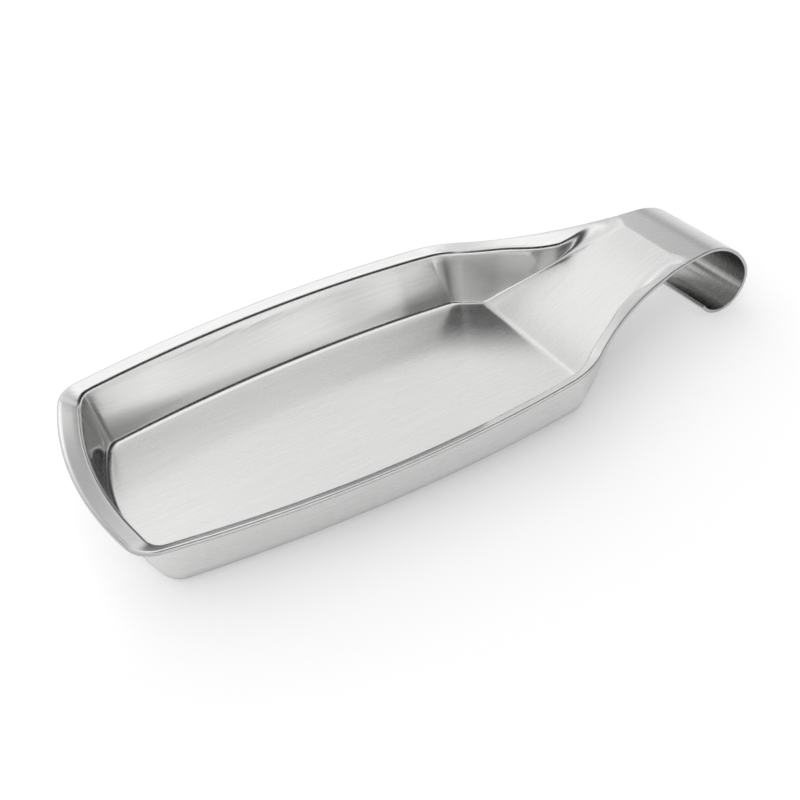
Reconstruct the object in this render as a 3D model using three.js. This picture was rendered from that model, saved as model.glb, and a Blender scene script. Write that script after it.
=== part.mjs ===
import * as THREE from 'three';

// Spoon rest pressed from one sheet of brushed stainless steel
// Millimetres, +Z up, +X from the tray towards the handle
// While it is drawn, x = 0 is the widest place of the tray and its underside lies on z = 0

// Sheet and heights of its upper face
const SHEET = 1.2;
const LIP_HEIGHT = 22.2;
const STRAP_HEIGHT = 24;

// Lip outline seen from above
const LIP_HALF_WIDTH = 47.5;
const LIP_SIDE_RADIUS = 370;
const LIP_FRONT_X = -86.8;
const LIP_FRONT_RADIUS = 119;
const LIP_CORNER_RADIUS = 9;
const LIP_SHOULDER_RADIUS = 33.6;
const LIP_NECK_RADIUS = 128;
const STRAP_HALF_WIDTH = 17.4;
const NECK_END = 132;

// Floor outline seen from above, where the wall fillet runs out
const FLOOR_HALF_WIDTH = 35.8;
const FLOOR_WIDEST_X = 8;
const FLOOR_SIDE_RADIUS = 520;
const FLOOR_FRONT_X = -77.2;
const FLOOR_FRONT_RADIUS = 80;
const FLOOR_CORNER_RADIUS = 4.5;
const FLOOR_SHOULDER_RADIUS = 5;
const FLOOR_NECK_RADIUS = 131;
const FLOOR_NECK_HALF_WIDTH = 9.6;

// Ramp between the two straight folds, steep at first and flatter towards the strap
const RAMP_START_ANGLE = THREE.MathUtils.degToRad(36);
const LOW_FOLD_X = 64.5;
const HIGH_FOLD_X = 111;
const LOW_FOLD_RADIUS = 4;
const HIGH_FOLD_RADIUS = 6;

// Curled handle, which hangs a little lower than the tray's underside
const CURL_END_X = 143.5;
const CURL_RADIUS = 10.7;
const CURL_DROP = 4.2;
const BEND_RADIUS = 24;
const CURL_FREE_ANGLE = THREE.MathUtils.degToRad(-147);

// Wall section from the cut edge of the lip to the floor
const LIP_FLARE = 2.8;
const LIP_ANGLE = THREE.MathUtils.degToRad(24);
const LIP_BEND_RADIUS = 2.2;
const NARROW_BAND = 5;
const WIDE_BAND = 11.7;
const NARROW_DRAFT = THREE.MathUtils.degToRad(2);
const WIDE_DRAFT = THREE.MathUtils.degToRad(18);
const LIP_RISE_START_X = 45;

// Towards the neck the wall gets lower and turns into one slope that runs out on the ramp
const LEAST_DEPTH = 6.2;
const FORMED_DEPTH = 9.5;
const SLOPE_DEPTH = 4.5;

// The lip is wider and its bend softer round the front, and it takes most of the band at the neck
const FRONT_FLARE = 4.6;
const FRONT_BEND_RADIUS = 2.6;
const FRONT_DRAFT = THREE.MathUtils.degToRad(4);
const FRONT_WIDENS_FROM_X = -48;
const FRONT_WIDENS_TO_X = -77;
const NECK_FLARE_SHARE = 0.6;
const NECK_WIDENS_FROM_X = 74;
const NECK_WIDENS_TO_X = 93;

// Facets along and across the sheet
const STEPS = { curl: 14, bend: 3, neck: 14, shoulder: 7, side: 9, corner: 5, front: 4 };
const BEND_STEPS = 3;
const FILLET_STEPS = 5;
const FLOOR_SPANS = 4;

// Curl centres follow from the heights and the two radii
const CURL_CENTRE = new THREE.Vector2(CURL_END_X - CURL_RADIUS, CURL_RADIUS - CURL_DROP);
const BEND_CENTRE_Z = STRAP_HEIGHT - BEND_RADIUS;
const BEND_RISE = CURL_CENTRE.y - BEND_CENTRE_Z;
const BEND_REACH = Math.sqrt((BEND_RADIUS - CURL_RADIUS) ** 2 - BEND_RISE ** 2);
const BEND_CENTRE = new THREE.Vector2(CURL_CENTRE.x - BEND_REACH, BEND_CENTRE_Z);
const CURL_START_ANGLE = Math.atan2(BEND_RISE, BEND_REACH);
const BEND_LENGTH = BEND_RADIUS * (Math.PI / 2 - CURL_START_ANGLE);

// The part stands on the front of its underside and on the curl, so it leans forward by a small angle
const CURL_FROM_FRONT = new THREE.Vector2(CURL_CENTRE.x - FLOOR_FRONT_X, CURL_CENTRE.y);
const STANCE_ANGLE = Math.asin(CURL_RADIUS / CURL_FROM_FRONT.length()) - CURL_FROM_FRONT.angle();

// The place where two circles cross, on the side of larger or smaller x
function circlesCross(centreA, radiusA, centreB, radiusB, side) {
  const gap = centreB.clone().sub(centreA);
  const span = gap.length();
  const along = (span ** 2 + radiusA ** 2 - radiusB ** 2) / (2 * span);
  const across = Math.sqrt(radiusA ** 2 - along ** 2);
  const axis = gap.divideScalar(span);
  const normal = new THREE.Vector2(-axis.y, axis.x);
  if (normal.x * side < 0) normal.negate();
  return centreA.clone().addScaledVector(axis, along).addScaledVector(normal, across);
}

// A circle's arc from one angle to another
function arc(centre, radius, from, to) {
  return new THREE.EllipseCurve(centre.x, centre.y, radius, radius, from, to, to < from);
}

function angleOf(centre, point) {
  return Math.atan2(point.y - centre.y, point.x - centre.x);
}

// Half of a bottle-shaped outline, with the handle laid flat, as five arcs from the neck to the front
function bottleHalf(size) {
  const sideCentre = new THREE.Vector2(size.widestX, size.half - size.sideRadius);
  const frontCentre = new THREE.Vector2(size.frontX + size.frontRadius, 0);
  const neckCentre = new THREE.Vector2(NECK_END, size.neckHalf + size.neckRadius);
  const shoulder = circlesCross(sideCentre, size.sideRadius - size.shoulderRadius,
    neckCentre, size.neckRadius + size.shoulderRadius, -1);
  const corner = circlesCross(sideCentre, size.sideRadius - size.cornerRadius,
    frontCentre, size.frontRadius - size.cornerRadius, -1);
  const neckEnd = angleOf(shoulder, neckCentre);
  const shoulderEnd = angleOf(sideCentre, shoulder);
  const sideEnd = angleOf(sideCentre, corner);
  const cornerEnd = angleOf(frontCentre, corner);
  return {
    neck: arc(neckCentre, size.neckRadius, -Math.PI / 2, neckEnd - Math.PI),
    shoulder: arc(shoulder, size.shoulderRadius, neckEnd, shoulderEnd),
    side: arc(sideCentre, size.sideRadius, shoulderEnd, sideEnd),
    corner: arc(corner, size.cornerRadius, sideEnd, cornerEnd),
    front: arc(frontCentre, size.frontRadius, cornerEnd, Math.PI),
  };
}

const LIP_LINE = bottleHalf({
  half: LIP_HALF_WIDTH,
  widestX: 0,
  sideRadius: LIP_SIDE_RADIUS,
  frontX: LIP_FRONT_X,
  frontRadius: LIP_FRONT_RADIUS,
  cornerRadius: LIP_CORNER_RADIUS,
  shoulderRadius: LIP_SHOULDER_RADIUS,
  neckRadius: LIP_NECK_RADIUS,
  neckHalf: STRAP_HALF_WIDTH,
});

const FLOOR_LINE = bottleHalf({
  half: FLOOR_HALF_WIDTH,
  widestX: FLOOR_WIDEST_X,
  sideRadius: FLOOR_SIDE_RADIUS,
  frontX: FLOOR_FRONT_X,
  frontRadius: FLOOR_FRONT_RADIUS,
  cornerRadius: FLOOR_CORNER_RADIUS,
  shoulderRadius: FLOOR_SHOULDER_RADIUS,
  neckRadius: FLOOR_NECK_RADIUS,
  neckHalf: FLOOR_NECK_HALF_WIDTH,
});

// The ramp is an arc whose end slope follows from its start slope and its chord
const RAMP_CHORD_ANGLE = Math.atan2(STRAP_HEIGHT - SHEET, HIGH_FOLD_X - LOW_FOLD_X);
const RAMP_END_ANGLE = 2 * RAMP_CHORD_ANGLE - RAMP_START_ANGLE;
const RAMP_RADIUS = (HIGH_FOLD_X - LOW_FOLD_X) / (Math.sin(RAMP_START_ANGLE) - Math.sin(RAMP_END_ANGLE));
const RAMP_CENTRE_X = LOW_FOLD_X + RAMP_RADIUS * Math.sin(RAMP_START_ANGLE);
const RAMP_CENTRE_Z = SHEET - RAMP_RADIUS * Math.cos(RAMP_START_ANGLE);

// The length that each fold's radius takes on both sides of the fold
const LOW_FOLD_TAKE = LOW_FOLD_RADIUS * Math.tan(RAMP_START_ANGLE / 2);
const HIGH_FOLD_TAKE = HIGH_FOLD_RADIUS * Math.tan(RAMP_END_ANGLE / 2);
const LOW_FOLD_FROM = LOW_FOLD_X - LOW_FOLD_TAKE;
const LOW_FOLD_TO = LOW_FOLD_X + LOW_FOLD_TAKE * Math.cos(RAMP_START_ANGLE);
const HIGH_FOLD_FROM = HIGH_FOLD_X - HIGH_FOLD_TAKE * Math.cos(RAMP_END_ANGLE);
const HIGH_FOLD_TO = HIGH_FOLD_X + HIGH_FOLD_TAKE;

// Height of the floor, ramp and strap along the middle
function middleHeight(x) {
  if (x <= LOW_FOLD_FROM) return SHEET;
  if (x < LOW_FOLD_TO) {
    return SHEET + LOW_FOLD_RADIUS - Math.sqrt(LOW_FOLD_RADIUS ** 2 - (x - LOW_FOLD_FROM) ** 2);
  }
  if (x <= HIGH_FOLD_FROM) return RAMP_CENTRE_Z + Math.sqrt(RAMP_RADIUS ** 2 - (x - RAMP_CENTRE_X) ** 2);
  if (x < HIGH_FOLD_TO) {
    return STRAP_HEIGHT - HIGH_FOLD_RADIUS + Math.sqrt(HIGH_FOLD_RADIUS ** 2 - (HIGH_FOLD_TO - x) ** 2);
  }
  return STRAP_HEIGHT;
}

// The lip climbs gently along the shoulders until it is level with the strap
function lipHeight(x) {
  const climb = THREE.MathUtils.smoothstep(x, LIP_RISE_START_X, HIGH_FOLD_X);
  return THREE.MathUtils.lerp(LIP_HEIGHT, STRAP_HEIGHT, climb);
}

// Flare, bend radius and draft of the wall at a place along the lip
function wallForm(x, width) {
  const front = THREE.MathUtils.smoothstep(-x, -FRONT_WIDENS_FROM_X, -FRONT_WIDENS_TO_X);
  const neck = THREE.MathUtils.smoothstep(x, NECK_WIDENS_FROM_X, NECK_WIDENS_TO_X);
  const draft = THREE.MathUtils.mapLinear(width, NARROW_BAND, WIDE_BAND, NARROW_DRAFT, WIDE_DRAFT);
  const flare = THREE.MathUtils.lerp(LIP_FLARE, FRONT_FLARE, front);
  return {
    flare: THREE.MathUtils.lerp(flare, NECK_FLARE_SHARE * width, neck),
    bend: THREE.MathUtils.lerp(LIP_BEND_RADIUS, FRONT_BEND_RADIUS, front),
    steep: Math.PI / 2 - THREE.MathUtils.lerp(draft, FRONT_DRAFT, front),
  };
}

// Share of the way in and share of the height at each point of lip, bend, wall and fillet
function wallSection(x, width, depth) {
  const full = Math.max(depth, LEAST_DEPTH);
  const { flare, bend, steep } = wallForm(x, width);
  const points = [new THREE.Vector2(0, full)];
  const bendIn = flare - bend * Math.sin(LIP_ANGLE);
  const bendUp = full - flare * Math.tan(LIP_ANGLE) - bend * Math.cos(LIP_ANGLE);
  for (let i = 0; i <= BEND_STEPS; i += 1) {
    const turn = THREE.MathUtils.lerp(LIP_ANGLE, steep, i / BEND_STEPS);
    points.push(new THREE.Vector2(bendIn + bend * Math.sin(turn), bendUp + bend * Math.cos(turn)));
  }
  const wallTop = points[points.length - 1];
  const fillet = (width - wallTop.x - wallTop.y / Math.tan(steep)) / Math.tan(steep / 2);
  for (let i = 0; i <= FILLET_STEPS; i += 1) {
    const turn = THREE.MathUtils.lerp(steep, 0, i / FILLET_STEPS);
    points.push(new THREE.Vector2(width - fillet * Math.sin(turn), fillet * (1 - Math.cos(turn))));
  }
  const sloped = 1 - THREE.MathUtils.smoothstep(depth, SLOPE_DEPTH, FORMED_DEPTH);
  const last = points.length - 1;
  return points.map((p, i) => {
    const formed = new THREE.Vector2(p.x / width, p.y / full);
    const slope = new THREE.Vector2(i / last, 1 - THREE.MathUtils.smoothstep(i / last, 0, 1));
    return formed.lerp(slope, sloped);
  });
}

// One line of points across the sheet, from the lip on the +Y side to the lip on the -Y side
function lineAcross(lip, floor, width) {
  const half = wallSection(lip.x, width, lip.z - floor.z).map((share) => new THREE.Vector3(
    THREE.MathUtils.lerp(lip.x, floor.x, share.x),
    THREE.MathUtils.lerp(lip.y, floor.y, share.x),
    THREE.MathUtils.lerp(floor.z, lip.z, share.y),
  ));
  const line = half.slice();
  for (let i = 1; i < FLOOR_SPANS; i += 1) {
    const y = THREE.MathUtils.lerp(floor.y, -floor.y, i / FLOOR_SPANS);
    line.push(new THREE.Vector3(floor.x, y, floor.z));
  }
  for (const p of half.slice().reverse()) line.push(new THREE.Vector3(p.x, -p.y, p.z));
  return line;
}

// Place in the middle plane of a point at a distance along the sheet, where the strap is rolled up
function wrapped(along) {
  const past = along - BEND_CENTRE.x;
  if (past <= 0) return new THREE.Vector2(along, middleHeight(along));
  const onBend = past < BEND_LENGTH;
  const centre = onBend ? BEND_CENTRE : CURL_CENTRE;
  const radius = onBend ? BEND_RADIUS : CURL_RADIUS;
  const angle = onBend ? Math.PI / 2 - past / radius : CURL_START_ANGLE - (past - BEND_LENGTH) / radius;
  return new THREE.Vector2(centre.x + radius * Math.cos(angle), centre.y + radius * Math.sin(angle));
}

// The rolled strap has straight edges from its free end to the place where the neck begins to widen
function handleLines() {
  const curlFrom = BEND_CENTRE.x + BEND_LENGTH;
  const lowest = curlFrom + CURL_RADIUS * (CURL_START_ANGLE + Math.PI / 2);
  const freeEnd = curlFrom + CURL_RADIUS * (CURL_START_ANGLE - CURL_FREE_ANGLE);
  const upperSteps = Math.round(STEPS.curl * (lowest - curlFrom) / (freeEnd - curlFrom));
  const runs = [
    [freeEnd, lowest, STEPS.curl - upperSteps],
    [lowest, curlFrom, upperSteps],
    [curlFrom, NECK_END, STEPS.bend],
  ];
  const width = STRAP_HALF_WIDTH - FLOOR_NECK_HALF_WIDTH;
  const lines = [];
  for (const [from, to, steps] of runs) {
    for (let i = 0; i < steps; i += 1) {
      const p = wrapped(THREE.MathUtils.lerp(from, to, i / steps));
      const lip = new THREE.Vector3(p.x, STRAP_HALF_WIDTH, p.y);
      const floor = new THREE.Vector3(p.x, FLOOR_NECK_HALF_WIDTH, p.y);
      lines.push(lineAcross(lip, floor, width));
    }
  }
  return lines;
}

// The share of an arc at which it passes a given x
function shareAtX(curve, x) {
  const reach = (x - curve.aX) / curve.xRadius;
  if (Math.abs(reach) > 1) return -1;
  const angle = Math.acos(reach) * Math.sign(curve.aEndAngle + curve.aStartAngle);
  return (angle - curve.aStartAngle) / (curve.aEndAngle - curve.aStartAngle);
}

// Even steps along an arc, together with the places where the folds cross it
function sharesAlong(curve, steps) {
  const folds = [LOW_FOLD_FROM, LOW_FOLD_X, LOW_FOLD_TO, HIGH_FOLD_FROM, HIGH_FOLD_X, HIGH_FOLD_TO];
  const kept = folds.map((x) => shareAtX(curve, x)).filter((share) => share > 0 && share < 1);
  const even = Array.from({ length: steps }, (_, i) => i / steps);
  const clear = even.filter((share) => kept.every((fold) => Math.abs(share - fold) > 0.3 / steps));
  return clear.concat(kept).sort((a, b) => a - b);
}

// Tray, shoulders and neck, from the end of the handle's bend to the middle of the front
function trayLines() {
  const lines = [];
  for (const name of ['neck', 'shoulder', 'side', 'corner', 'front']) {
    const shares = sharesAlong(FLOOR_LINE[name], STEPS[name]);
    if (name === 'front') shares.push(1);
    for (const share of shares) {
      const l = LIP_LINE[name].getPoint(share);
      const f = FLOOR_LINE[name].getPoint(share);
      const tangent = LIP_LINE[name].getTangent(share);
      const width = Math.abs((f.x - l.x) * tangent.y - (f.y - l.y) * tangent.x);
      const onAxis = name === 'front' && share === 1;
      const inner = wrapped(f.x);
      const outer = wrapped(l.x);
      const edgeHeight = l.x < HIGH_FOLD_X ? lipHeight(l.x) : outer.y;
      const lip = new THREE.Vector3(outer.x, onAxis ? 0 : l.y, edgeHeight);
      const floor = new THREE.Vector3(inner.x, onAxis ? 0 : f.y, inner.y);
      lines.push(lineAcross(lip, floor, width));
    }
  }
  return lines;
}

// A closed solid from the sheet's upper face, its lower face one thickness away, and the cut edge
function thicken(lines, thickness) {
  const seen = new Map();
  const points = [];
  const ids = lines.map((line) => line.map((p) => {
    const key = [p.x, p.y, p.z].map((v) => Math.round(v * 1e5)).join(' ');
    if (!seen.has(key)) {
      seen.set(key, points.length);
      points.push(p);
    }
    return seen.get(key);
  }));
  const faces = [];
  const addFace = (a, b, c) => {
    if (a !== b && b !== c && a !== c) faces.push([a, b, c]);
  };
  for (let i = 0; i + 1 < ids.length; i += 1) {
    for (let j = 0; j + 1 < ids[i].length; j += 1) {
      addFace(ids[i][j], ids[i + 1][j], ids[i + 1][j + 1]);
      addFace(ids[i][j], ids[i + 1][j + 1], ids[i][j + 1]);
    }
  }
  const normals = points.map(() => new THREE.Vector3());
  for (const face of faces) {
    const [a, b, c] = face.map((id) => points[id]);
    const flat = b.clone().sub(a).cross(c.clone().sub(a)).normalize();
    face.forEach((id, k) => {
      const here = points[id];
      const one = points[face[(k + 1) % 3]].clone().sub(here);
      const two = points[face[(k + 2) % 3]].clone().sub(here);
      normals[id].addScaledVector(flat, one.angleTo(two));
    });
  }
  normals.forEach((n) => n.normalize());
  const lower = points.map((p, id) => p.clone().addScaledVector(normals[id], -thickness));
  const count = points.length;
  const solid = [];
  for (const [a, b, c] of faces) {
    solid.push(a, b, c);
    solid.push(count + a, count + c, count + b);
  }
  const last = ids[0].length - 1;
  const edge = ids.map((line) => line[0]).reverse();
  edge.push(...ids[0].slice(1));
  edge.push(...ids.slice(1).map((line) => line[last]));
  for (let i = 0; i + 1 < edge.length; i += 1) {
    const a = edge[i];
    const b = edge[i + 1];
    if (a !== b) {
      solid.push(a, b, count + b);
      solid.push(a, count + b, count + a);
    }
  }
  const geometry = new THREE.BufferGeometry();
  geometry.setFromPoints(points.concat(lower));
  geometry.setIndex(solid);
  return geometry;
}

const body = thicken(handleLines().concat(trayLines()), SHEET);

// The shared origin is under the middle of the standing part, on the table
body.rotateY(-STANCE_ANGLE);
body.computeBoundingBox();
const middle = body.boundingBox.getCenter(new THREE.Vector3());
body.translate(-middle.x, -middle.y, -body.boundingBox.min.z);
body.computeVertexNormals();

const steel = new THREE.MeshStandardMaterial({ color: 0xcacac8, roughness: 0.36, metalness: 1 });
const pressing = new THREE.Mesh(body, steel);
pressing.name = 'pressed_steel_body';

const spoonRest = new THREE.Group();
spoonRest.name = 'spoon_rest';
spoonRest.add(pressing);

export default spoonRest;
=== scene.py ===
# %% [markdown]
# # A spoon rest pressed from one steel sheet
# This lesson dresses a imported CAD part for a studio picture. The real object is one sheet of
# brushed stainless steel: a shallow tray with a flared lip, a ramp at the neck, and a strap
# that rolls under itself as a handle. The CAD model has the right shape with few facets. Here
# the same sheet is worked out again on a fine grid and with cleaner front corners, so that its
# bends reflect light smoothly.

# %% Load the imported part
import bpy
import numpy as np
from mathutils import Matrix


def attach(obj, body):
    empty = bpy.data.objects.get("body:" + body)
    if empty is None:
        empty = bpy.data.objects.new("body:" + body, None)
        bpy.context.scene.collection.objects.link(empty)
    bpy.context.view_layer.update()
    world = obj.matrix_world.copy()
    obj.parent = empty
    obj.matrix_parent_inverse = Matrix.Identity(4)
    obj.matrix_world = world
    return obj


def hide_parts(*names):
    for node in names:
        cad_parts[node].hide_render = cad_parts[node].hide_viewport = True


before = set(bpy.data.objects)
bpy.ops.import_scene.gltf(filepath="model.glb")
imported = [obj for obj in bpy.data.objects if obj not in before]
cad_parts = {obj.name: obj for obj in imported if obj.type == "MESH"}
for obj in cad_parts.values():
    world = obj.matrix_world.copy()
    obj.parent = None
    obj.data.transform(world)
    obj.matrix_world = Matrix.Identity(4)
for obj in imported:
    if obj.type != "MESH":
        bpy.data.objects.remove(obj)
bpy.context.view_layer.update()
MM = 0.001

# %% [markdown]
# ## The sizes of the sheet
# A press tool is drawn with arcs that run into each other, so the outline is given by radii
# and a few widths. Lengths are in millimetres, with x = 0 where the lip is widest. The shape
# could be traced point by point, but a few arcs give cleaner reflections.

# %% Sheet, outline and bend sizes
SHEET, EDGE_ROUND = 1.2, 0.3
LIP_HEIGHT, STRAP_HEIGHT = 22.2, 24.0
NECK_END, STRAP_HALF_WIDTH, FLOOR_NECK_HALF_WIDTH = 132.0, 17.4, 9.6
LIP = dict(half=47.5, widest_x=0.0, side=370.0, front_x=-86.8, front=119.0, corner=9.0,
           shoulder=33.6, neck=128.0, neck_half=STRAP_HALF_WIDTH)
FLOOR = dict(half=35.8, widest_x=8.0, side=520.0, front_x=-77.2, front=80.0, corner=4.5,
             shoulder=5.0, neck=131.0, neck_half=FLOOR_NECK_HALF_WIDTH)
RAMP_START_ANGLE = np.radians(36)
LOW_FOLD_X, LOW_FOLD_RADIUS = 64.5, 4.0
HIGH_FOLD_X, HIGH_FOLD_RADIUS = 111.0, 6.0
CURL_END_X, CURL_RADIUS, CURL_DROP, BEND_RADIUS = 143.5, 10.7, 4.2, 24.0
CURL_FREE_ANGLE = np.radians(-147)
LIP_FLARE, LIP_ANGLE, LIP_BEND_RADIUS = 2.8, np.radians(24), 2.2
NARROW_BAND, NARROW_DRAFT = 5.0, np.radians(2)
WIDE_BAND, WIDE_DRAFT = 11.7, np.radians(18)
FRONT_FLARE, FRONT_LIP_ANGLE = 4.6, np.radians(28)
FRONT_BEND_RADIUS, FRONT_FILLET_RADIUS = 2.6, 2.4
FRONT_TURN = (0.2, 0.85)
NECK_FLARE_SHARE, NECK_WIDENS_X = 0.6, (74.0, 93.0)
LEAST_DEPTH, FORMED_DEPTH, SLOPE_DEPTH = 6.2, 9.5, 4.5
LIP_RISE_START_X = 45.0
print("sheet", SHEET, "mm, tray", 2 * LIP["half"], "mm wide over the lip's top edge")

# %% [markdown]
# ## Two bottle-shaped lines
# Seen from above, the lip's edge and the floor's edge are both bottle shapes: neck, shoulder,
# side, corner and front, each an arc that leaves the last one without a kink. Two circles that
# touch inside have centres one difference of radii apart, and two that touch outside one sum
# apart, so each middle arc's centre is found where two such circles cross.

# %% Arcs of a bottle-shaped line
def circles_cross(centre_a, radius_a, centre_b, radius_b):
    """Where two circles cross: along the line of centres, then square to it, to smaller x."""
    gap = centre_b - centre_a
    span = np.hypot(*gap)
    along = (span**2 + radius_a**2 - radius_b**2) / (2 * span)
    across = np.sqrt(radius_a**2 - along**2)
    axis = gap / span
    square = np.array([-axis[1], axis[0]])
    square = -square if square[0] > 0 else square
    return centre_a + axis * along + square * across


def angle_to(start, end):
    """Angle of the line from one point to another, counted from the x axis."""
    return np.arctan2(end[1] - start[1], end[0] - start[0])


def bottle_arcs(size):
    """Five arcs from the neck to the middle of the front, each (centre, radius, from, to)."""
    side = np.array([size["widest_x"], size["half"] - size["side"]])
    front = np.array([size["front_x"] + size["front"], 0.0])
    neck = np.array([NECK_END, size["neck_half"] + size["neck"]])
    shoulder = circles_cross(side, size["side"] - size["shoulder"],
                             neck, size["neck"] + size["shoulder"])
    corner = circles_cross(side, size["side"] - size["corner"],
                           front, size["front"] - size["corner"])
    neck_to, shoulder_to = angle_to(shoulder, neck), angle_to(side, shoulder)
    side_to, corner_to = angle_to(side, corner), angle_to(front, corner)
    return [
        (neck, size["neck"], -np.pi / 2, neck_to - np.pi),
        (shoulder, size["shoulder"], neck_to, shoulder_to),
        (side, size["side"], shoulder_to, side_to),
        (corner, size["corner"], side_to, corner_to),
        (front, size["front"], corner_to, np.pi),
    ]


def joints_of(arcs):
    """Running length at each place where one arc hands over to the next."""
    return np.concatenate([[0.0], np.cumsum([r * abs(b - a) for _, r, a, b in arcs])])


def along_arcs(arcs, run):
    """Points and headings at running lengths: centre plus radius turned by length over radius."""
    marks = joints_of(arcs)
    which = np.clip(np.searchsorted(marks, run, side="right") - 1, 0, len(arcs) - 1)
    centre = np.array([a[0] for a in arcs])[which]
    radius = np.array([a[1] for a in arcs])[which]
    start = np.array([a[2] for a in arcs])[which]
    way = np.array([np.sign(a[3] - a[2]) for a in arcs])[which]
    angle = start + way * (run - marks[which]) / radius
    ray = np.stack([np.cos(angle), np.sin(angle)], axis=1)
    heading = np.stack([-ray[:, 1], ray[:, 0]], axis=1) * way[:, None]
    return centre + ray * radius[:, None], heading


lip_arcs, floor_arcs = bottle_arcs(LIP), bottle_arcs(FLOOR)
print("half outline of the lip", round(joints_of(lip_arcs)[-1], 1), "mm, of the floor",
      round(joints_of(floor_arcs)[-1], 1), "mm")

# %% [markdown]
# ## The middle line of the sheet
# Cut along its middle, the sheet is flat in the tray, turns up a low fold into the ramp, lies
# flat again over a high fold, and then rolls into the curl. The ramp is steep at first and
# eases off, so it is one large arc. The curl could be a spiral, but a soft bend followed by one
# round turn is how a rolling tool leaves it.

# %% Heights along the middle
RAMP_REACH = HIGH_FOLD_X - LOW_FOLD_X
RAMP_CHORD = np.arctan2(STRAP_HEIGHT - SHEET, RAMP_REACH)
RAMP_END_ANGLE = 2 * RAMP_CHORD - RAMP_START_ANGLE
RAMP_RADIUS = RAMP_REACH / (np.sin(RAMP_START_ANGLE) - np.sin(RAMP_END_ANGLE))
RAMP_CENTRE_X = LOW_FOLD_X + RAMP_RADIUS * np.sin(RAMP_START_ANGLE)
RAMP_CENTRE_Z = SHEET - RAMP_RADIUS * np.cos(RAMP_START_ANGLE)
LOW_TAKE = LOW_FOLD_RADIUS * np.tan(RAMP_START_ANGLE / 2)
HIGH_TAKE = HIGH_FOLD_RADIUS * np.tan(RAMP_END_ANGLE / 2)
LOW_FROM, LOW_TO = LOW_FOLD_X - LOW_TAKE, LOW_FOLD_X + LOW_TAKE * np.cos(RAMP_START_ANGLE)
HIGH_FROM, HIGH_TO = HIGH_FOLD_X - HIGH_TAKE * np.cos(RAMP_END_ANGLE), HIGH_FOLD_X + HIGH_TAKE
CURL_CENTRE = np.array([CURL_END_X - CURL_RADIUS, CURL_RADIUS - CURL_DROP])
BEND_RISE = CURL_CENTRE[1] - (STRAP_HEIGHT - BEND_RADIUS)
BEND_REACH = np.sqrt((BEND_RADIUS - CURL_RADIUS) ** 2 - BEND_RISE**2)
BEND_CENTRE = np.array([CURL_CENTRE[0] - BEND_REACH, STRAP_HEIGHT - BEND_RADIUS])
CURL_START_ANGLE = np.arctan2(BEND_RISE, BEND_REACH)
BEND_LENGTH = BEND_RADIUS * (np.pi / 2 - CURL_START_ANGLE)
CURL_FROM = BEND_CENTRE[0] + BEND_LENGTH
FREE_END = CURL_FROM + CURL_RADIUS * (CURL_START_ANGLE - CURL_FREE_ANGLE)


def circle_height(centre_z, radius, off, way):
    """Height of a circle at a distance off its middle: centre plus or minus the half chord."""
    return centre_z + way * np.sqrt(np.maximum(radius**2 - off**2, 0))


def middle_height(x):
    """Floor, low fold arc, ramp arc, high fold arc or strap, chosen by x."""
    return np.select(
        [x <= LOW_FROM, x < LOW_TO, x <= HIGH_FROM, x < HIGH_TO],
        [np.full_like(x, SHEET),
         circle_height(SHEET + LOW_FOLD_RADIUS, LOW_FOLD_RADIUS, x - LOW_FROM, -1),
         circle_height(RAMP_CENTRE_Z, RAMP_RADIUS, x - RAMP_CENTRE_X, 1),
         circle_height(STRAP_HEIGHT - HIGH_FOLD_RADIUS, HIGH_FOLD_RADIUS, HIGH_TO - x, 1)],
        STRAP_HEIGHT)


def rolled(along):
    """x and z at a length along the strap: straight on, then round the bend and the curl."""
    past = along - BEND_CENTRE[0]
    bend = np.pi / 2 - past / BEND_RADIUS
    curl = CURL_START_ANGLE - (past - BEND_LENGTH) / CURL_RADIUS
    where = [past <= 0, past < BEND_LENGTH]
    x = np.select(where, [along, BEND_CENTRE[0] + BEND_RADIUS * np.cos(bend)],
                  CURL_CENTRE[0] + CURL_RADIUS * np.cos(curl))
    z = np.select(where, [middle_height(along), BEND_CENTRE[1] + BEND_RADIUS * np.sin(bend)],
                  CURL_CENTRE[1] + CURL_RADIUS * np.sin(curl))
    return x, z


print("ramp radius", round(RAMP_RADIUS, 1), "mm, flat length to the free end",
      round(FREE_END - LIP["front_x"], 1), "mm")

# %% [markdown]
# ## Pairing and evening
# The wall is stretched between two lines, so places on one have to be paired with places on the
# other. Sharing them out straight between the arcs' joints would leave a crease at each joint,
# and a smooth curve through the joints leaves none. Values that jump from arc to arc are evened
# over their neighbours for the same reason: polished metal shows every jump.

# %% Pairing and evening
EVEN_REACH = 4.0


def smooth_through(x, y, at):
    """A rising cubic through knots: a knot's slope is the harmonic mean of those beside it."""
    step = np.diff(x)
    rise = np.diff(y) / step
    inner = 2 * rise[1:] * rise[:-1] / (rise[1:] + rise[:-1])
    slope = np.concatenate([rise[:1], inner, rise[-1:]])
    i = np.clip(np.searchsorted(x, at, side="right") - 1, 0, len(step) - 1)
    t = (at - x[i]) / step[i]
    return (y[i] * (1 + 2 * t) * (1 - t) ** 2 + y[i + 1] * t**2 * (3 - 2 * t)
            + slope[i] * step[i] * t * (1 - t) ** 2 + slope[i + 1] * step[i] * t**2 * (t - 1))


def evened(values, run):
    """Mean over near stations, mirrored at the front: a bell curve of distance times spacing."""
    spacing = np.tile(np.gradient(run), 2)
    apart = run[:, None] - np.concatenate([run, 2 * run[-1] - run])[None]
    weight = np.exp(-(apart / EVEN_REACH) ** 2) * spacing
    return weight @ np.tile(values, 2) / weight.sum(axis=1)


print("values are evened over about", EVEN_REACH, "mm")

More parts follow.
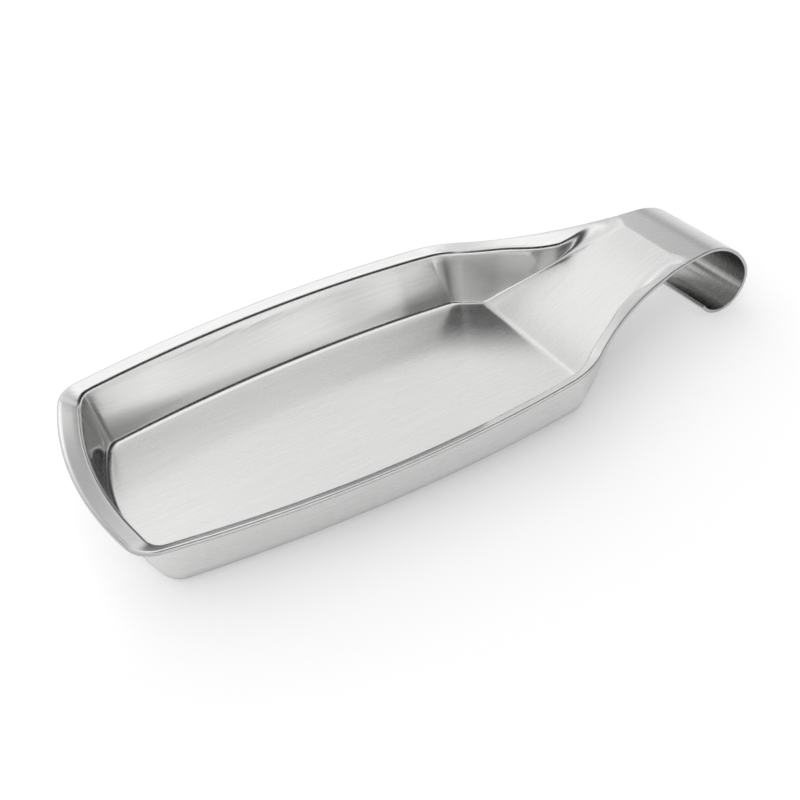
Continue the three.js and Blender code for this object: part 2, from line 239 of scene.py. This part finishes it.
# %% [markdown]
# ## Stations along the sheet
# The grid's first parameter runs from the free end of the curl, along the strap and one side of
# the tray, to the middle of the front. Each station pairs a place on the floor line with one on
# the lip line. Two values go with it: the width between the lines, and how far the lip's edge
# has turned the corner towards the front. Even steps would be simpler, but they would be too
# coarse in the folds and corners or too many elsewhere.

# %% Stations
CURL_STEPS, BEND_STEPS, FOLD_STEPS = 64, 12, 6
SHOULDER_STEPS, CORNER_STEPS, FRONT_STEPS = 30, 44, 26
NECK_STEP, TRAY_STEP, CLEAR_OF_FOLD = 1.0, 1.6, 0.3
LOOKUP_ROWS = 6000


def tray_runs():
    """Running lengths on the floor line: even steps on each arc, closer ones over both folds."""
    marks = joints_of(floor_arcs)
    fine = np.linspace(0, marks[3], LOOKUP_ROWS)
    x = along_arcs(floor_arcs, fine)[0][:, 0]
    folds = np.concatenate([np.linspace(LOW_FROM, LOW_TO, FOLD_STEPS + 1),
                            np.linspace(HIGH_FROM, HIGH_TO, FOLD_STEPS + 1)])
    at_folds = np.interp(-folds, -x, fine)
    counts = [int((marks[1] - marks[0]) / NECK_STEP), SHOULDER_STEPS,
              int((marks[3] - marks[2]) / TRAY_STEP), CORNER_STEPS, FRONT_STEPS]
    even = np.concatenate([np.linspace(a, b, n, endpoint=False)
                           for a, b, n in zip(marks[:-1], marks[1:], counts)])
    clear = np.abs(even[:, None] - at_folds[None]).min(axis=1) > CLEAR_OF_FOLD
    clear |= np.isin(even, marks)
    return np.sort(np.concatenate([even[clear], at_folds, marks[-1:]]))


def after_strap(half_width, tray_xy):
    """The strap's straight line at a half width, followed by a line of the tray."""
    strap_xy = np.stack([strap_run, np.full_like(strap_run, half_width)], axis=1)
    return np.concatenate([strap_xy, tray_xy])


floor_run = tray_runs()
lip_run = smooth_through(joints_of(floor_arcs), joints_of(lip_arcs), floor_run)
floor_xy, _ = along_arcs(floor_arcs, floor_run)
lip_xy, lip_heading = along_arcs(lip_arcs, lip_run)
band = floor_xy - lip_xy
tray_band = np.abs(band[:, 0] * lip_heading[:, 1] - band[:, 1] * lip_heading[:, 0])
floor_xy[-1, 1] = lip_xy[-1, 1] = 0.0
strap_run = np.concatenate([np.linspace(FREE_END, CURL_FROM, CURL_STEPS, endpoint=False),
                            np.linspace(CURL_FROM, NECK_END, BEND_STEPS, endpoint=False)])
strap_band = np.full_like(strap_run, STRAP_HALF_WIDTH - FLOOR_NECK_HALF_WIDTH)
lip_xy = after_strap(STRAP_HALF_WIDTH, lip_xy)
floor_xy = after_strap(FLOOR_NECK_HALF_WIDTH, floor_xy)
whole_run = np.concatenate([NECK_END - strap_run, lip_run])
band_width = evened(np.concatenate([strap_band, tray_band]), whole_run)
front_turn = evened(np.concatenate([0 * strap_run, -lip_heading[:, 1]]), whole_run)
print("stations along the sheet:", len(lip_xy))

# %% [markdown]
# ## The wall's section
# Across each station the sheet starts at the cut edge, slopes down the lip, turns over a tight
# bend, drops down a wall that leans out a little so that the press can let go, and runs out in a
# fillet on the floor. Along the sides the lean follows from the width between the two lines, and
# the fillet takes what is left. Round the front the lip is wider and steeper, its bend is softer
# and the fillet has a set radius. These ease in as the lip's edge turns the corner, and the lean
# is then solved again, since the width stays. Towards the neck the wall gets lower until it is
# one slope that runs out on the ramp.

# %% Wall section
LIP_SPANS, BEND_SPANS, WALL_SPANS, FILLET_SPANS = 4, 10, 8, 14
STEEP_ROUNDS = 8


def ease(value, low=0.0, high=1.0):
    """0 below low, 1 above high, and between them three t squared less two t cubed."""
    t = np.clip((value - low) / (high - low), 0, 1)
    return t * t * (3 - 2 * t)


def below_bend(full, flare, tilt, bend, steep):
    """Way in and height at the foot of the bend: down the lip, then round to the wall's angle."""
    way_in = flare + bend * (np.sin(steep) - np.sin(tilt))
    return way_in, full - flare * np.tan(tilt) + bend * (np.cos(steep) - np.cos(tilt))


def wall_form(x, wide, full, turned):
    """Flare, tilt, bend and fillet radii, steepness: the side's, eased to neck and front."""
    front, neck = ease(turned, *FRONT_TURN), ease(x, *NECK_WIDENS_X)
    widened = (wide - NARROW_BAND) / (WIDE_BAND - NARROW_BAND)
    steep = np.pi / 2 - NARROW_DRAFT - widened * (WIDE_DRAFT - NARROW_DRAFT)
    flare = LIP_FLARE + (NECK_FLARE_SHARE * wide - LIP_FLARE) * neck
    way_in, height = below_bend(full, flare, LIP_ANGLE, LIP_BEND_RADIUS, steep)
    fillet = (wide - way_in - height / np.tan(steep)) / np.tan(steep / 2)
    fillet = fillet + (FRONT_FILLET_RADIUS - fillet) * front
    flare = flare + (FRONT_FLARE - flare) * front
    tilt = LIP_ANGLE + (FRONT_LIP_ANGLE - LIP_ANGLE) * front
    bend = LIP_BEND_RADIUS + (FRONT_BEND_RADIUS - LIP_BEND_RADIUS) * front
    for _ in range(STEEP_ROUNDS):
        way_in, height = below_bend(full, flare, tilt, bend, steep)
        steep = np.arctan2(height, wide - way_in - fillet * np.tan(steep / 2))
    return flare, tilt, bend, fillet, steep


def wall_section(x, width, depth):
    """Shares of the way in and of the height: lip line, bend arc, straight wall, fillet arc."""
    full = np.maximum(depth, LEAST_DEPTH)[:, None]
    wide = width[:, None]
    flare, tilt, bend, radius, steep = wall_form(x[:, None], wide, full, front_turn[:, None])
    t = np.linspace(0, 1, LIP_SPANS, endpoint=False)[None]
    lip_in, lip_up = flare * t, full - flare * np.tan(tilt) * t
    turn = tilt + (steep - tilt) * np.linspace(0, 1, BEND_SPANS + 1)[None]
    bend_in, bend_up = below_bend(full, flare, tilt, bend, turn)
    top_in, top_up = bend_in[:, -1:], bend_up[:, -1:]
    turn = steep * np.linspace(1, 0, FILLET_SPANS + 1)[None]
    foot_in, foot_up = wide - radius * np.sin(turn), radius * (1 - np.cos(turn))
    t = np.linspace(0, 1, WALL_SPANS + 1)[None, 1:-1]
    wall_in = top_in + (foot_in[:, :1] - top_in) * t
    wall_up = top_up + (foot_up[:, :1] - top_up) * t
    inwards = np.concatenate([lip_in, bend_in, wall_in, foot_in], axis=1) / wide
    upwards = np.concatenate([lip_up, bend_up, wall_up, foot_up], axis=1) / full
    sloped = 1 - ease(depth, SLOPE_DEPTH, FORMED_DEPTH)[:, None]
    evenly = np.linspace(0, 1, inwards.shape[1])[None]
    return (inwards + (evenly - inwards) * sloped,
            upwards + (1 - ease(evenly) - upwards) * sloped)


print("spans across a wall:", LIP_SPANS + BEND_SPANS + WALL_SPANS + FILLET_SPANS)

# %% [markdown]
# ## The upper face
# The section is stretched between the lip line and the floor line at each station, mirrored to
# the other side, and the floor is filled in between. A subdivided cage could give a similar face,
# but its bends would not keep their radii.

# %% Upper face
FLOOR_SPANS = 24
FLOOR_ACROSS = np.linspace(1, -1, FLOOR_SPANS + 1)[1:-1]


def upper_face():
    """Stations by places across: lip to floor on +Y, over the floor, floor to lip on -Y."""
    floor_x, floor_z = rolled(floor_xy[:, 0])
    lip_x, lip_z = rolled(lip_xy[:, 0])
    climb = ease(lip_xy[:, 0], LIP_RISE_START_X, HIGH_FOLD_X)
    tray_z = LIP_HEIGHT + (STRAP_HEIGHT - LIP_HEIGHT) * climb
    lip_z = np.where(lip_xy[:, 0] < HIGH_FOLD_X, tray_z, lip_z)
    inwards, upwards = wall_section(lip_x, band_width, lip_z - floor_z)
    x = lip_x[:, None] + (floor_x - lip_x)[:, None] * inwards
    y = lip_xy[:, 1:] + (floor_xy[:, 1] - lip_xy[:, 1])[:, None] * inwards
    z = floor_z[:, None] + (lip_z - floor_z)[:, None] * upwards
    half = np.stack([x, y, z], axis=2)
    floor = np.stack(np.broadcast_arrays(
        floor_x[:, None], floor_xy[:, 1:] * FLOOR_ACROSS, floor_z[:, None]), axis=2)
    whole = np.concatenate([half, floor, half[:, ::-1] * [1, -1, 1]], axis=1)
    return whole, lip_z - floor_z


grid, wall_depth = upper_face()
print("upper face grid:", grid.shape[0], "by", grid.shape[1])

# %% [markdown]
# ## Flat coordinates for the grain
# The sheet is brushed while it is flat and pressed afterwards, so the brush marks follow the
# metal. Each point gets the place that it had on the flat blank: the tray floor keeps its own
# place, the walls are laid down outwards by their length, and the ramp is laid down by its
# length too. These go into a UV map, which the steel's grain reads later. The press also rubs
# the sheet smoother: most on the wall, less on the lip and its bend, and not at all on the flats.

# %% Blank coordinates
MIDDLE_FROM, MIDDLE_TO, MIDDLE_ROWS = -100.0, 140.0, 24001
WALL_PLACES = LIP_SPANS + BEND_SPANS + WALL_SPANS + FILLET_SPANS + 1
LIP_GLOSS, BEND_GLOSS = 0.65, 0.45


def flat_length(x):
    """Length of the middle line up to x: the sum of small slanted steps, read off a table."""
    table = np.linspace(MIDDLE_FROM, MIDDLE_TO, MIDDLE_ROWS)
    step = np.hypot(np.diff(table), np.diff(middle_height(table)))
    length = np.concatenate([[0], np.cumsum(step)]) + MIDDLE_FROM
    return np.where(x < MIDDLE_TO, np.interp(x, table, length), x - MIDDLE_TO + length[-1])


def blank_places():
    """Flat x and y: floor place plus the wall's length laid out from the floor line to the lip."""
    reach = np.linalg.norm(np.diff(grid[:, :WALL_PLACES], axis=1), axis=2)
    length = np.cumsum(reach[:, ::-1], axis=1)[:, ::-1]
    length = np.concatenate([length, np.zeros((len(grid), 1))], axis=1)
    out = lip_xy - floor_xy
    out = out / np.linalg.norm(out, axis=1)[:, None]
    start = np.stack([flat_length(floor_xy[:, 0]), floor_xy[:, 1]], axis=1)
    wall = start[:, None] + out[:, None] * length[:, :, None]
    floor = start[:, None] * np.stack([np.ones_like(FLOOR_ACROSS), FLOOR_ACROSS], axis=1)[None]
    return np.concatenate([wall, floor, wall[:, ::-1] * [1, -1]], axis=1)


# This share makes the walls smoother, and on the underside it also blends the colour from painted
# shade at 0 to painted light at 1.
def drawn_and_lit_share():
    """1 on the wall, less on lip and bend, 0 at the fillet's foot and where the wall runs out."""
    bend_to = LIP_SPANS + BEND_SPANS
    wall_to, fillet_to = bend_to + WALL_SPANS, WALL_PLACES - 1
    knots = [(0, LIP_GLOSS), (LIP_SPANS - 2, LIP_GLOSS), (LIP_SPANS + 2, BEND_GLOSS),
             (bend_to, BEND_GLOSS), (bend_to + 1, 1), (wall_to - 1, 1),
             (wall_to + 1, BEND_GLOSS), (fillet_to, 0)]
    across = np.interp(np.arange(WALL_PLACES), *zip(*knots))
    across = np.concatenate([across, np.zeros(FLOOR_SPANS - 1), across[::-1]])
    return across[None] * ease(wall_depth, SLOPE_DEPTH, FORMED_DEPTH)[:, None]


blank, drawn_and_lit = blank_places(), drawn_and_lit_share()
print("blank, mm:", np.ptp(blank[..., 0]).round(1), "by", np.ptp(blank[..., 1]).round(1))

# %% [markdown]
# ## Normals and the cut edge
# Stamped sheet has a square cut edge, and on the real part it is deburred, so it becomes a strip
# with two small round corners. A Bevel modifier could do this, but the arrays are at hand and
# give the edge an exact radius. The strip stands along the normals of the upper face.

# %% Normals and cut edge
WELD_KEYS_PER_MM = 1e4
ROUND_POINTS = 5


def weld(points):
    """One index for each place: equal rounded coordinates share a vertex."""
    keys = np.round(points.reshape(-1, 3) * WELD_KEYS_PER_MM).astype(np.int64)
    _, first, ids = np.unique(keys, axis=0, return_index=True, return_inverse=True)
    return first, ids.reshape(points.shape[:2])


def vertex_normals(points, quads):
    """Sum of each quad's diagonal cross product at its four corners, made one long."""
    corner = points[quads]
    cross = np.cross(corner[:, 2] - corner[:, 0], corner[:, 3] - corner[:, 1])
    total = np.zeros_like(points)
    np.add.at(total, quads.ravel(), np.repeat(cross, 4, axis=0))
    return total / np.linalg.norm(total, axis=1)[:, None]


def outward_at(rim, points, normal):
    """Away from the sheet at its rim: the way along the rim crossed with the normal."""
    ahead = points[np.roll(rim, -1)] - points[np.roll(rim, 1)]
    outward = np.cross(ahead, normal[rim])
    outward /= np.linalg.norm(outward, axis=1)[:, None]
    return outward * np.sign(outward[0] @ (points[rim[0]] - points.mean(axis=0)))


def edge_rows(edge, normal, outward):
    """Rows of points down the cut edge: a quarter round, a flat and another quarter round."""
    turn = np.linspace(0, np.pi / 2, ROUND_POINTS)
    rise = np.concatenate([np.cos(turn) - 1, 1 - np.sin(turn)]) * EDGE_ROUND
    rise[ROUND_POINTS:] -= SHEET
    reach = np.concatenate([np.sin(turn) - 1, np.cos(turn) - 1]) * EDGE_ROUND
    return edge + rise[1:-1, None, None] * normal + reach[1:-1, None, None] * outward


print("cut edge", SHEET, "mm thick with corners of", EDGE_ROUND, "mm")

# %% [markdown]
# ## From a face to a solid sheet
# The lower face lies one sheet thickness under the upper one, along the surface normals, and the
# cut edge closes the gap all round. Each point also carries its place on the blank, how far it
# was drawn, and whether it lies on the underside or on the cut edge. A Solidify modifier would
# thicken the sheet too, but it would not leave these marks.

# %% Closed sheet
def closed_sheet():
    """Upper face, lower face one sheet down, and the rows of the cut edge between them."""
    first, ids = weld(grid)
    upper = grid.reshape(-1, 3)[first]
    flat = np.concatenate([blank, drawn_and_lit[..., None]], axis=2).reshape(-1, 3)[first]
    quads = np.stack([ids[:-1, :-1], ids[1:, :-1], ids[1:, 1:], ids[:-1, 1:]], axis=2)
    quads = quads.reshape(-1, 4)
    normal = vertex_normals(upper, quads)
    rim = np.concatenate([ids[::-1, 0], ids[0, 1:], ids[1:-1, -1]])
    outward = outward_at(rim, upper, normal)
    strip = edge_rows(upper[rim], normal[rim], outward)
    lower = upper - SHEET * normal
    upper[rim] -= EDGE_ROUND * outward
    lower[rim] -= EDGE_ROUND * outward
    count, (rows, ring) = len(upper), strip.shape[:2]
    points = np.concatenate([upper, lower, strip.reshape(-1, 3)])
    strip_ids = 2 * count + np.arange(rows * ring).reshape(rows, ring)
    level = np.concatenate([[rim], strip_ids, [count + rim]])
    beside = np.roll(level, -1, axis=1)
    bands = np.stack([level[:-1], beside[:-1], beside[1:], level[1:]], axis=2).reshape(-1, 4)
    flats = np.concatenate([flat, flat, np.tile(flat[rim], (rows, 1))])
    under = np.concatenate([np.zeros(count), np.ones(count), np.zeros(rows * ring)])
    edging = np.concatenate([np.zeros(2 * count), np.ones(rows * ring)])
    return points, np.concatenate([quads, quads[:, ::-1] + count, bands]), flats, under, edging


points, quads, flats, under, edging = closed_sheet()
print("sheet solid:", len(points), "points,", len(quads), "quads")

# %% [markdown]
# ## Standing on the table
# The curl hangs a little lower than the tray's underside, so the part leans forward until the
# front of the underside and the curl both touch the table. The angle is that of the line which
# starts at the front and touches the curl from below.

# %% Mesh of the sheet
def standing(points):
    """Turned about the y axis by the lean, then moved to the middle of its box, on the table."""
    reach = np.array([CURL_CENTRE[0] - FLOOR["front_x"], CURL_CENTRE[1]])
    lean = np.arcsin(CURL_RADIUS / np.hypot(*reach)) - np.arctan2(reach[1], reach[0])
    x = points[:, 0] * np.cos(lean) - points[:, 2] * np.sin(lean)
    z = points[:, 0] * np.sin(lean) + points[:, 2] * np.cos(lean)
    print("lean", round(np.degrees(lean), 2), "degrees")
    return np.stack([x - (x.min() + x.max()) / 2, points[:, 1], z - z.min()], axis=1)


def faces_of(quads):
    """Quads as they are, and where two corners share a vertex the three that are left."""
    same = quads == np.roll(quads, -1, axis=1)
    pinched = same.any(axis=1)
    return quads[~pinched].tolist() + quads[pinched][~same[pinched]].reshape(-1, 3).tolist()


mesh = bpy.data.meshes.new("pressed_sheet")
mesh.from_pydata((standing(points) * MM).tolist(), [], faces_of(quads))
corner_vertex = np.zeros(len(mesh.loops), np.int32)
mesh.loops.foreach_get("vertex_index", corner_vertex)
uv = mesh.uv_layers.new(name="blank")
uv.data.foreach_set("uv", (flats[corner_vertex, :2] * MM).astype(np.float32).ravel())
for name, share in (("drawn_and_lit", flats[:, 2]), ("under_face", under), ("cut_edge", edging)):
    attribute = mesh.attributes.new(name, "FLOAT", "POINT")
    attribute.data.foreach_set("value", share.astype(np.float32))
mesh.polygons.foreach_set("use_smooth", np.ones(len(mesh.polygons), bool))
mesh.validate()
mesh.update()
sheet = bpy.data.objects.new("pressed_sheet", mesh)
bpy.context.scene.collection.objects.link(sheet)
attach(sheet, "root")
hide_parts("pressed_steel_body")
print("sheet mesh:", len(mesh.vertices), "vertices,", len(mesh.polygons), "faces")

# %% [markdown]
# ## Helpers for shader nodes
# The steel, the table and the studio are all drawn with shader nodes. These helpers add nodes to
# the tree that `nodes` and `links` stand for at the time, so that later cells stay short.

# %% Node helpers
NOISE_ROUGHNESS = 0.6
NOISE_SPAN = (0.3, 0.7)
WARMTH = 0.004
MIX_SOCKETS = {"FLOAT": (2, 3, 0), "RGBA": (6, 7, 2)}


def node(kind, **values):
    """A node of a kind, with its sockets and settings given by name."""
    made = nodes.new(kind)
    for name, value in values.items():
        if name in made.inputs:
            made.inputs[name].default_value = value
        else:
            setattr(made, name, value)
    return made


def reckoned(operation, first, second):
    """One value worked out from two others by a Math node."""
    worked = node("ShaderNodeMath", operation=operation)
    links.new(first, worked.inputs[0])
    links.new(second, worked.inputs[1])
    return worked.outputs["Value"]


def streaks(flat_place, waves, detail):
    """Noise stretched along the grain: few waves per metre lengthways, many across."""
    place = node("ShaderNodeMapping", Scale=waves)
    links.new(flat_place, place.inputs["Vector"])
    noise = node("ShaderNodeTexNoise", Scale=1.0, Detail=detail, Roughness=NOISE_ROUGHNESS)
    links.new(place.outputs["Vector"], noise.inputs["Vector"])
    return noise.outputs["Fac"]


def between(value, low, high):
    """A noise's usual span of values spread over a range from low to high."""
    spread = node("ShaderNodeMapRange")
    links.new(value, spread.inputs["Value"])
    names = ("From Min", "From Max", "To Min", "To Max")
    for name, number in zip(names, (*NOISE_SPAN, low, high)):
        spread.inputs[name].default_value = number
    return spread.outputs["Result"]


def tones(value, dark, light):
    """A grey that follows a noise from dark to light, a touch warm like nickel steel."""
    ends = {end: (grey, grey, grey - WARMTH, 1) for end, grey in (("A", dark), ("B", light))}
    mix = node("ShaderNodeMix", data_type="RGBA", **ends)
    links.new(between(value, 0, 1), mix.inputs["Factor"])
    return mix.outputs["Result"]


def marked(name, usual, there, kind):
    """One value where the mesh's attribute is 0 and another where it is 1."""
    mix = node("ShaderNodeMix", data_type=kind)
    first, second, result = MIX_SOCKETS[kind]
    links.new(node("ShaderNodeAttribute", attribute_name=name).outputs["Fac"], mix.inputs[0])
    links.new(usual, mix.inputs[first])
    links.new(there, mix.inputs[second])
    return mix.outputs[result]


def soft_step(value, low, high):
    """0 below low, 1 above high, eased between; with low above high it falls instead."""
    step = node("ShaderNodeMapRange", interpolation_type="SMOOTHSTEP")
    links.new(value, step.inputs["Value"])
    rising = low < high
    step.inputs["From Min"].default_value = min(low, high)
    step.inputs["From Max"].default_value = max(low, high)
    step.inputs["To Min"].default_value = 0.0 if rising else 1.0
    step.inputs["To Max"].default_value = 1.0 if rising else 0.0
    return step.outputs["Result"]


helpers = (node, reckoned, streaks, between, tones, marked, soft_step)
print("node helpers:", ", ".join(helper.__name__ for helper in helpers))

# %% [markdown]
# ## Brushed steel
# A brush leaves fine scratches along the sheet, which spread a reflection sideways and not
# lengthways. The shader's anisotropy gives that spread, with the blank's UV map as its direction.
# Two streaked noises add what the eye sees up close: hair lines that change the gloss and the
# tone a little, and wider bands where the belt pressed harder. The flats stay brushed, the drawn
# walls are smoother, and lip and bends lie between. The underside keeps a dull gloss, and its
# colour is painted: dark where it was not drawn, as painted shade for the inside of the curl, and
# lighter where the walls were stretched, as painted light on the near outer wall. The deburred
# cut edge is painted a mid grey, darker than the steel, as painted shade for the dark that it
# reflects. Painted textures could show all this, but noises on the blank have no seams.

# %% Steel
HAIR_WAVES, HAIR_DETAIL = (160, 6000, 1), 3.0
BAND_WAVES, BAND_DETAIL = (40, 1500, 1), 2.0
BRUSHED_ROUGH, DRAWN_ROUGH = (0.25, 0.33), (0.08, 0.12)
UNDER_ROUGH, EDGE_ROUGH = (0.22, 0.3), (0.1, 0.16)
# The cut edge's grey is painted shade: it is darkened to stand in for the dark that the edge
# reflects.
BRUSHED_TONE, EDGE_SHADE_TONE = (0.64, 0.69), (0.42, 0.48)
# Underside colours: painted shade where the sheet was not drawn, for the dark inside of the curl,
# and painted light on the drawn walls, for the brighter near outer wall.
UNDERSIDE_SHADE_TONE, UNDERSIDE_LIT_TONE = (0.34, 0.4), (0.69, 0.75)
SCRATCH_STRENGTH, SCRATCH_DEPTH = 0.09, 0.00002
GRAIN_SPREAD, GRAIN_TURN = 0.6, 0.25
steel = bpy.data.materials.new("brushed_steel")
steel.use_nodes = True
nodes, links = steel.node_tree.nodes, steel.node_tree.links
bsdf = nodes["Principled BSDF"]
flat_place = node("ShaderNodeUVMap", uv_map="blank").outputs["UV"]
hairs = streaks(flat_place, HAIR_WAVES, HAIR_DETAIL)
bands = streaks(flat_place, BAND_WAVES, BAND_DETAIL)
rough = marked("drawn_and_lit", between(hairs, *BRUSHED_ROUGH), between(bands, *DRAWN_ROUGH), "FLOAT")
rough = marked("under_face", rough, between(hairs, *UNDER_ROUGH), "FLOAT")
rough = marked("cut_edge", rough, between(bands, *EDGE_ROUGH), "FLOAT")
links.new(rough, bsdf.inputs["Roughness"])
# The underside's colour is painted shade and painted light, switched by how far the sheet was
# drawn.
lower = marked("drawn_and_lit", tones(bands, *UNDERSIDE_SHADE_TONE), tones(bands, *UNDERSIDE_LIT_TONE), "RGBA")
shade = marked("under_face", tones(bands, *BRUSHED_TONE), lower, "RGBA")
# Painted shade: the cut edge is coloured darker for the dark that it reflects.
shade = marked("cut_edge", shade, tones(hairs, *EDGE_SHADE_TONE), "RGBA")
links.new(shade, bsdf.inputs["Base Color"])
scratch = node("ShaderNodeBump", Strength=SCRATCH_STRENGTH, Distance=SCRATCH_DEPTH)
links.new(hairs, scratch.inputs["Height"])
links.new(scratch.outputs["Normal"], bsdf.inputs["Normal"])
grain = node("ShaderNodeTangent", direction_type="UV_MAP", uv_map="blank")
links.new(grain.outputs["Tangent"], bsdf.inputs["Tangent"])
bsdf.inputs["Metallic"].default_value = 1.0
bsdf.inputs["Anisotropic"].default_value = GRAIN_SPREAD
bsdf.inputs["Anisotropic Rotation"].default_value = GRAIN_TURN
sheet.data.materials.append(steel)
print("steel nodes:", len(nodes))

# %% [markdown]
# ## A white table
# The picture was taken on white, so the table is white where the camera and the steel see it.
# A share of that white is the table's own glow, which only those rays see, so it lights nothing
# else. The rest is plain white paint, which still takes the part's shadow.

# %% Table
TABLE_REACH = 6.0
TABLE_COLOUR, TABLE_ROUGHNESS = 0.76, 0.9
TABLE_GLOW = 0.38
corners = np.array([(-1, -1, 0), (1, -1, 0), (1, 1, 0), (-1, 1, 0)]) * TABLE_REACH
table_mesh = bpy.data.meshes.new("table")
table_mesh.from_pydata(corners.tolist(), [], [(0, 1, 2, 3)])
table = bpy.data.objects.new("table", table_mesh)
bpy.context.scene.collection.objects.link(table)
paint = bpy.data.materials.new("white_table")
paint.use_nodes = True
nodes, links = paint.node_tree.nodes, paint.node_tree.links
coat = nodes["Principled BSDF"]
coat.inputs["Base Color"].default_value = (TABLE_COLOUR, TABLE_COLOUR, TABLE_COLOUR, 1)
coat.inputs["Roughness"].default_value = TABLE_ROUGHNESS
coat.inputs["Specular IOR Level"].default_value = 0.0
coat.inputs["Emission Color"].default_value = (1, 1, 1, 1)
path = node("ShaderNodeLightPath").outputs
seen = reckoned("MAXIMUM", path["Is Camera Ray"], path["Is Glossy Ray"])
seen = reckoned("MAXIMUM", seen, path["Is Transmission Ray"])
glow = node("ShaderNodeMath", operation="MULTIPLY")
links.new(seen, glow.inputs[0])
glow.inputs[1].default_value = TABLE_GLOW
links.new(glow.outputs["Value"], coat.inputs["Emission Strength"])
table.data.materials.append(paint)
print("table reaches", 2 * TABLE_REACH, "m")

# %% [markdown]
# ## Soft studio light
# Metal shows its surroundings, so the light is drawn as a studio: a pale tent hung with bright
# panels, grey cards and dark cloths. Their places were found by following rays from the camera
# off the steel. The floor shows the back of the tent, the far wall shows what is low on the
# camera's side, and each bend sweeps past a dark cloth, which draws its dark line. Each piece
# spans some compass directions and some heights, has soft edges, and covers those listed before
# it. Lamps and cards could stand in the scene instead, but their stands would show.

# %% Studio
TENT = 1.0
PANELS = [  # place, degrees from +Y towards +X, half width, lowest, highest, soft edge, brightness
    ("cloth at the handle's end", 104, 42, 18, 58, 8, 0.05),
    ("card at the back right", 33, 10, 14, 28, 3, 0.55),
    ("card beside it", 52, 13, 17, 34, 4, 0.48),
    ("cloth at the near right", 150, 46, 17, 58, 4, 0.02),
    ("panel above it", 150, 50, 62, 82, 4, 1.7),
    ("panel below it", 158, 38, -5, 13, 3, 1.5),
    ("panel at the left", -105, 38, 18, 60, 10, 1.4),
    ("cloth behind the camera", -157, 22, 23, 62, 3, 0.02),
    ("small panel below it", -146, 12, 10, 20, 2, 1.6),
    ("small panel at the back left", -53, 9, 36, 47, 4, 1.7),
    ("high panel at the back", -12, 20, 38, 64, 8, 1.25),
    ("small cloth at the back left", -37, 5, 39, 47, 2, 0.05),
    ("low panel at the back", -24, 38, 1, 28, 4, 1.6),
    ("low cloth at the back left", -55, 11, 12, 27, 2, 0.05),
    ("bar across the back", 4, 31, 30.5, 36, 2, 1.9),
    ("short bar at the back right", 35, 5, 26.5, 32, 2, 1.9),
    ("overhead panel at the right", 92, 64, 68, 84, 5, 1.4),
]
world = bpy.data.worlds.new("studio")
bpy.context.scene.world = world
world.use_nodes = True
nodes, links = world.node_tree.nodes, world.node_tree.links
sight = node("ShaderNodeTexCoord").outputs["Generated"]
level = node("ShaderNodeVectorMath", operation="MULTIPLY")
links.new(sight, level.inputs[0])
level.inputs[1].default_value = (1, 1, 0)
compass = node("ShaderNodeVectorMath", operation="NORMALIZE")
links.new(level.outputs["Vector"], compass.inputs[0])
height = node("ShaderNodeSeparateXYZ")
links.new(sight, height.inputs["Vector"])


def panel_share(azimuth, half_width, low, high, edge):
    """1 in a panel and 0 off it: soft steps across, up from low and down from high, multiplied."""
    towards = node("ShaderNodeVectorMath", operation="DOT_PRODUCT")
    links.new(compass.outputs["Vector"], towards.inputs[0])
    towards.inputs[1].default_value = (np.sin(azimuth), np.cos(azimuth), 0)
    facing, upward = towards.outputs["Value"], height.outputs["Z"]
    across = soft_step(facing, np.cos(half_width + edge), np.cos(half_width - edge))
    above = soft_step(upward, np.sin(low - edge), np.sin(low + edge))
    under = soft_step(upward, np.sin(min(high + edge, np.pi / 2)), np.sin(high - edge))
    return reckoned("MULTIPLY", across, reckoned("MULTIPLY", above, under))


tent = node("ShaderNodeRGB").outputs["Color"]
tent.default_value = (TENT, TENT, TENT, 1)
for _, *span, brightness in PANELS:
    mix = node("ShaderNodeMix", data_type="RGBA", B=(brightness, brightness, brightness, 1))
    links.new(panel_share(*np.radians(span)), mix.inputs["Factor"])
    links.new(tent, mix.inputs["A"])
    tent = mix.outputs["Result"]
links.new(tent, nodes["Background"].inputs["Color"])
print("studio:", len(PANELS), "pieces on the tent,", len(nodes), "nodes")

# %% [markdown]
# ## The camera
# The view is the picture's own: from the front left, looking down about forty degrees, with the
# camera rolled a little. A lens near 43 mm on a 36 mm sensor gives the same convergence.

# %% Camera
LENS_MM, SENSOR_MM, NEAREST = 42.997, 36.0, 0.01
CAMERA_PLACE = (-0.12306, -0.20963, 0.19352)
CAMERA_TURN = np.radians([50.8951, 3.1767, -29.9016])
camera_data = bpy.data.cameras.new("camera")
camera_data.lens = LENS_MM
camera_data.sensor_width = SENSOR_MM
camera_data.clip_start = NEAREST
camera = bpy.data.objects.new("camera", camera_data)
bpy.context.scene.collection.objects.link(camera)
camera.location = CAMERA_PLACE
camera.rotation_euler = CAMERA_TURN
bpy.context.scene.camera = camera
bpy.context.scene.view_settings.view_transform = "Standard"
print("camera at", [round(v, 4) for v in camera.location])
